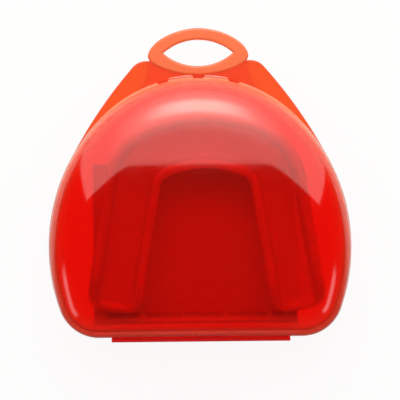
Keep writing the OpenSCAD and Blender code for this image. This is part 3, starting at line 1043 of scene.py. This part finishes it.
def makeMilkyRubber(r):
    material, tree, output = newMaterial("milkyThermoplastic")
    coords = addNode(tree, "TexCoord").outputs["Object"]
    cloud = noise(tree, coords, r["cloudScale"], detail=4)
    grain = noise(tree, coords, r["grainScale"], detail=2)
    shader = addNode(tree, "BsdfPrincipled", {
        "Base Color": mixColours(tree, remap(tree, cloud, 0, 1), r["colour"], r["shade"]),
        "Roughness": remap(tree, cloud, *r["roughness"]),
        "Normal": bump(tree, grain, r["grainStrength"], r["grainDepth"]),
        "Transmission Weight": r["through"],
        "Subsurface Weight": r["scatter"],
        "Subsurface Radius": r["depthShares"],
        "Subsurface Scale": r["depth"],
        "IOR": r["ior"],
    })
    letLampsThrough(tree, shader, r["clear"], output, ["Is Shadow Ray"])
    return material


# Uncoated paper with rows of plain grey lines
paper = {
    # grey rather than white: painted shade for the dim light inside the case
    "colour": (0.66, 0.65, 0.63),
    "shade": (0.61, 0.60, 0.58),
    "ink": (0.30, 0.30, 0.31),
    "inkShare": 0.10,  # of the small lines
    "footShare": 0.58,  # of the larger line at the foot of the panel
    "footLine": -36.9 * mm,
    "footHigh": 1.6 * mm,
    "footWordScale": 330.0,
    "footWordGap": 0.40,  # noise below this is a gap between words
    "linePitch": 2.1 * mm,
    "lineShare": 0.34,  # of the pitch that is inked
    "wordScale": 420.0,
    "wordGap": 0.42,
    "rowShift": 7.31,  # moves the words from row to row
    "paragraph": 6,  # rows, the first of them empty
    "linesMiddle": -1.4 * mm,
    "linesHalf": 25 * mm,
    "fibreScale": 1500.0,
    "fibreStrength": 0.3,
    "fibreDepth": 0.00002,
    "roughness": (0.75, 0.95),
    "specular": 0.3,
}


# Words along X, as noise that is over a gap's level
def wordShare(tree, x, scale, gap, row=0.0):
    place = addNode(tree, "CombineXYZ", {0: maths(tree, "MULTIPLY", x, scale), 1: row})
    return maths(tree, "GREATER_THAN", noise(tree, place.outputs[0], 1, detail=1), gap)


def product(tree, *factors):
    result = factors[0]
    for factor in factors[1:]:
        result = maths(tree, "MULTIPLY", result, factor)
    return result


# Share of ink: rows of small lines, and a larger line at the foot
def inkOnPaper(tree, coords, p):
    split = addNode(tree, "SeparateXYZ", {0: coords})
    x, y = split.outputs["X"], split.outputs["Y"]
    rows = maths(tree, "DIVIDE", y, p["linePitch"])
    row = maths(tree, "FLOOR", rows)
    inLine = maths(tree, "LESS_THAN", maths(tree, "FRACT", rows), p["lineShare"])
    words = wordShare(tree, x, p["wordScale"], p["wordGap"], maths(tree, "MULTIPLY", row, p["rowShift"]))
    inText = maths(tree, "GREATER_THAN", maths(tree, "FLOORED_MODULO", row, p["paragraph"]), 0.5)
    above = maths(tree, "GREATER_THAN", y, p["footLine"] + 2 * p["footHigh"])
    small = product(tree, inLine, words, above, inText, p["inkShare"])
    fromFoot = maths(tree, "ABSOLUTE", maths(tree, "SUBTRACT", y, p["footLine"]))
    atFoot = maths(tree, "LESS_THAN", fromFoot, p["footHigh"] / 2)
    footWords = wordShare(tree, x, p["footWordScale"], p["footWordGap"])
    large = product(tree, atFoot, footWords, p["footShare"])
    fromMiddle = maths(tree, "ABSOLUTE", maths(tree, "SUBTRACT", x, p["linesMiddle"]))
    inMargin = maths(tree, "LESS_THAN", fromMiddle, p["linesHalf"])
    return product(tree, maths(tree, "ADD", small, large), inMargin)


def makePaper(p):
    material, tree, output = newMaterial("uncoatedPaper")
    coords = addNode(tree, "TexCoord").outputs["Object"]
    fibres = noise(tree, coords, p["fibreScale"], detail=5, rough=0.7)
    sheetColour = mixColours(tree, remap(tree, fibres, 0, 1), p["colour"], p["shade"])
    shader = addNode(tree, "BsdfPrincipled", {
        "Base Color": mixColours(tree, inkOnPaper(tree, coords, p), sheetColour, p["ink"]),
        "Roughness": remap(tree, fibres, *p["roughness"]),
        "Normal": bump(tree, fibres, p["fibreStrength"], p["fibreDepth"]),
        "Specular IOR Level": p["specular"],
    })
    tree.links.new(shader.outputs[0], output.inputs["Surface"])
    return material


lidRed = makeRedPlastic("lidRed", redLid)
lidInsideRed = makeRedPlastic("lidInsideRed", redLidInside)
insideRed = makeRedPlastic("insideRed", redInside)
rimRedPaintedGlow = makeRedPlastic("rimRedPaintedGlow", redRimPaintedGlow)
flangeRed = makeRedPlastic("flangeRed", redFlange)
hingeRed = makeRedPlastic("hingeRed", redHinge)
loopRedPaintedSheen = makeRedPlastic("loopRedPaintedSheen", satinLoopPaintedSheen)
plateRed = makeRedPlastic("plateRed", satinPlate)
padRed = makeRedPlastic("padRed", satinPad)
milkyThermoplastic = makeMilkyRubber(milkyRubber)
uncoatedPaper = makePaper(paper)
# the order in a list is that of the piece's material slots
finishes = [
    ([lidShell], [lidRed, flangeRed, lidInsideRed]),
    ([baseTray], [insideRed, flangeRed]),
    ([thumbLips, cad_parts["snap_beads"]], [rimRedPaintedGlow]),
    ([baseBar, lidBar, hingeWeb], [hingeRed]),
    ([hangerPlate], [loopRedPaintedSheen, plateRed, padRed]),
    ([mouthguard], [milkyThermoplastic]),
    ([foldedLeaflet], [uncoatedPaper]),
]
for pieces, materials in finishes:
    for piece in pieces:
        slots = [face.material_index for face in piece.data.polygons]
        piece.data.materials.clear()
        for material in materials:
            piece.data.materials.append(material)
        if len(materials) > 1:
            piece.data.polygons.foreach_set("material_index", slots)
print("materials set")


# Studio: white floor, a large softbox beyond the loop, two side lamps, a fill and dim surroundings
studio = {
    "floorSize": 6.0,
    "floorDrop": 0.0003,  # keeps the floor clear of the case's back
    "floorColour": (0.86, 0.86, 0.86),
    "floorGlow": 0.92,  # share of plain white in what is seen of the floor
    "frontReflectionShade": (-0.02, -0.06),  # beyond this the floor in front of the hinge is dark in reflections: a painted shadow of the case
    "reflectionShadeShare": 0.85,
    "surroundings": 0.03,
    "bounces": 32,  # enough for light that runs along inside the walls
    "clearBounces": 24,
}
subject = (0, 0, 0.02)  # what a lamp faces, if nothing else is set
# Places and sizes in metres; face is the brightness of the lamp's face, soft the share of it that fades
lamps = {
    "softbox": {
        "place": (0.100, 0.326, 0.531), "faces": (0.100, -0.624, 0.241), "size": (1.70, 1.11),
        "face": 1.5, "colour": (1, 0.98, 0.90),
    },
    "softboxGlow": {
        "place": (0.0, 0.48, 0.46), "size": (1.1, 0.8),
        "face": 2.6, "soft": 1.0, "colour": (1, 0.96, 0.84),
    },
    "softboxCore": {
        "place": (0.0, 0.49, 0.47), "size": (0.6, 0.28),
        "face": 4.2, "soft": 0.8, "colour": (1, 0.97, 0.88),
    },
    "leftLamp": {
        "place": (-0.83, -0.43, 0.46), "size": (0.54, 0.17),
        "face": 1.9, "soft": 0.4,
    },
    "rightLamp": {
        "place": (0.83, -0.45, 0.54), "size": (0.50, 0.16),
        "face": 2.0, "soft": 0.4,
    },
    "frontFill": {
        "place": (0.0, -0.75, 0.35), "size": (1.2, 0.5),
        "face": 1.0, "reflected": False,
    },
}


def makeLamp(name, l):
    data = bpy.data.lights.new(name, "AREA")
    data.color = l.get("colour", (1, 1, 1))
    data.shape = "RECTANGLE"
    data.size, data.size_y = l["size"]
    data.energy = l["face"] * math.pi * l["size"][0] * l["size"][1]
    lamp = addObject(name, data)
    lamp.location = l["place"]
    back = Vector(l["place"]) - Vector(l.get("faces", subject))
    lamp.rotation_euler = back.to_track_quat("Z", "Y").to_euler()
    lamp.visible_camera = False
    lamp.visible_glossy = l.get("reflected", True)
    if "soft" in l:
        softenEdges(data, l["soft"])


# Brightness falls off towards the sides of a lamp
def softenEdges(data, soft):
    tree, output = emptyTree(data, "OutputLight")
    split = addNode(tree, "SeparateXYZ", {0: addNode(tree, "NewGeometry").outputs["Parametric"]})
    shares = []
    for axis in "XY":
        fromMiddle = maths(tree, "ABSOLUTE", maths(tree, "SUBTRACT", split.outputs[axis], 0.5))
        fromEdge = maths(tree, "SUBTRACT", 0.5, fromMiddle)
        shares.append(remap(tree, fromEdge, 0, 1, 0, 0.5 * soft, smooth=True))
    emission = addNode(tree, "Emission", {"Strength": product(tree, *shares)})
    tree.links.new(emission.outputs[0], output.inputs["Surface"])


# All white through the case, and nearly so beside it, where its shadow shows
def whiteShare(tree, glow):
    path = addNode(tree, "LightPath")
    beside = maths(tree, "MULTIPLY", path.outputs["Is Camera Ray"], glow)
    return maths(tree, "MAXIMUM", beside, path.outputs["Is Transmission Ray"])


def makeFloor(s):
    half = s["floorSize"] / 2
    mesh = bpy.data.meshes.new("floor")
    corners = [(-half, -half, 0), (half, -half, 0), (half, half, 0), (-half, half, 0)]
    mesh.from_pydata(corners, [], [(0, 1, 2, 3)])
    floor = addObject("floor", mesh)
    floor.location.z = -s["floorDrop"]
    material, tree, output = newMaterial("paleFloor")
    split = addNode(tree, "SeparateXYZ", {0: addNode(tree, "NewGeometry").outputs["Position"]})
    # painted shadow: in reflections only, the floor goes dark in front of the hinge
    front = remap(tree, split.outputs["Y"], 0, s["reflectionShadeShare"], *s["frontReflectionShade"], smooth=True)
    reflectionShade = maths(tree, "MULTIPLY", addNode(tree, "LightPath").outputs["Is Glossy Ray"], front)
    matt = addNode(tree, "BsdfDiffuse", {"Color": mixColours(tree, reflectionShade, s["floorColour"], (0, 0, 0))})
    mixShaders(tree, whiteShare(tree, s["floorGlow"]), matt, addNode(tree, "Emission"), output)
    mesh.materials.append(material)


def makeWorld(s):
    world = bpy.data.worlds.new("studio")
    bpy.context.scene.world = world
    tree, output = emptyTree(world, "OutputWorld")
    path = addNode(tree, "LightPath")
    strength = maths(tree, "MAXIMUM", path.outputs["Is Camera Ray"], s["surroundings"])
    background = addNode(tree, "Background", {"Color": (1, 1, 1, 1), "Strength": strength})
    tree.links.new(background.outputs[0], output.inputs["Surface"])


for name, setup in lamps.items():
    makeLamp(name, setup)
makeFloor(studio)
makeWorld(studio)
scene = bpy.context.scene
scene.view_settings.view_transform = "Standard"
scene.cycles.max_bounces = scene.cycles.transmission_bounces = studio["bounces"]
scene.cycles.transparent_max_bounces = studio["clearBounces"]
print("studio lit")
